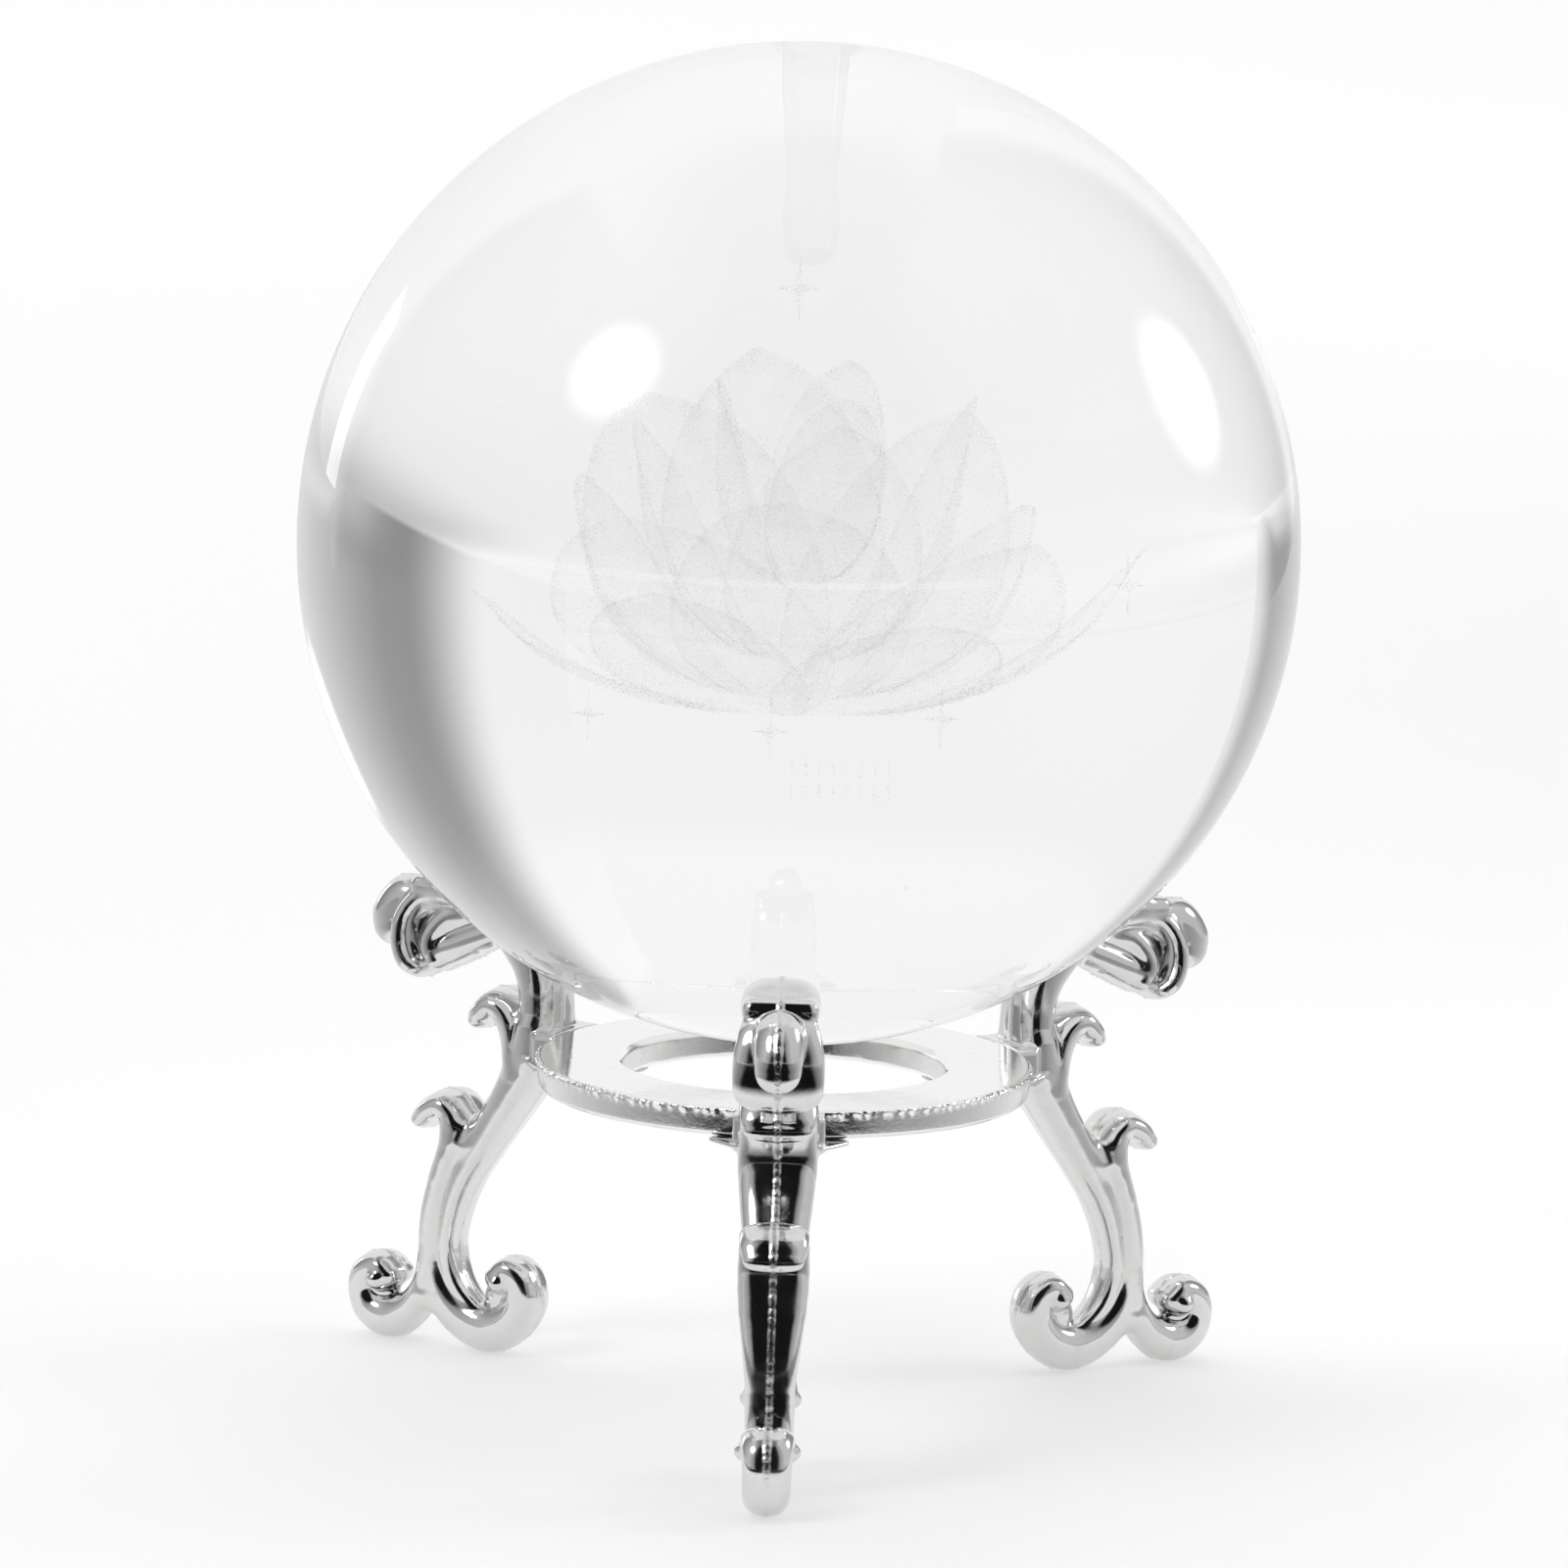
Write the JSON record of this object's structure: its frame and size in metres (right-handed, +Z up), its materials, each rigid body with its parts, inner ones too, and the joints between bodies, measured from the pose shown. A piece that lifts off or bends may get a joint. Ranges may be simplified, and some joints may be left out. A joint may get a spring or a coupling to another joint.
{
  "type": "crystal ball on stand",
  "caption": "Solid clear glass ball with a fine engraved flower inside, resting on a plated cast stand: scroll-footed legs screwed under a flat seat ring.",
  "frame": {"origin": "on the seat ring's axis at table level, between the feet", "axes": "+Z up through the ball's centre; -Y towards the front leg; the other legs at 30 and 150 degrees from +X"},
  "size_m": [0.08, 0.0812, 0.1101],
  "materials": {
    "ball_glass": "polished optical glass with a fine internal laser engraving",
    "plated_ring": "silver plated, polished top, rough flash line on the rim",
    "plated_casting": "silver plated zinc casting with a parting line",
    "screw_steel": "nickel plated pan-head screw"
  },
  "bodies": {
    "stand": {"seat_ring": "plated_ring", "leg_front": "plated_casting", "leg_right": "plated_casting", "leg_left": "plated_casting", "screw_front": "screw_steel", "screw_right": "screw_steel", "screw_left": "screw_steel"},
    "ball": {"crystal_ball": "ball_glass"}
  },
  "joints": [
    {"name": "ball_lift", "type": "slide", "parent": "stand", "child": "ball", "axis": [0, 0, 1], "range_m": [0, 0.05]}
  ]
}
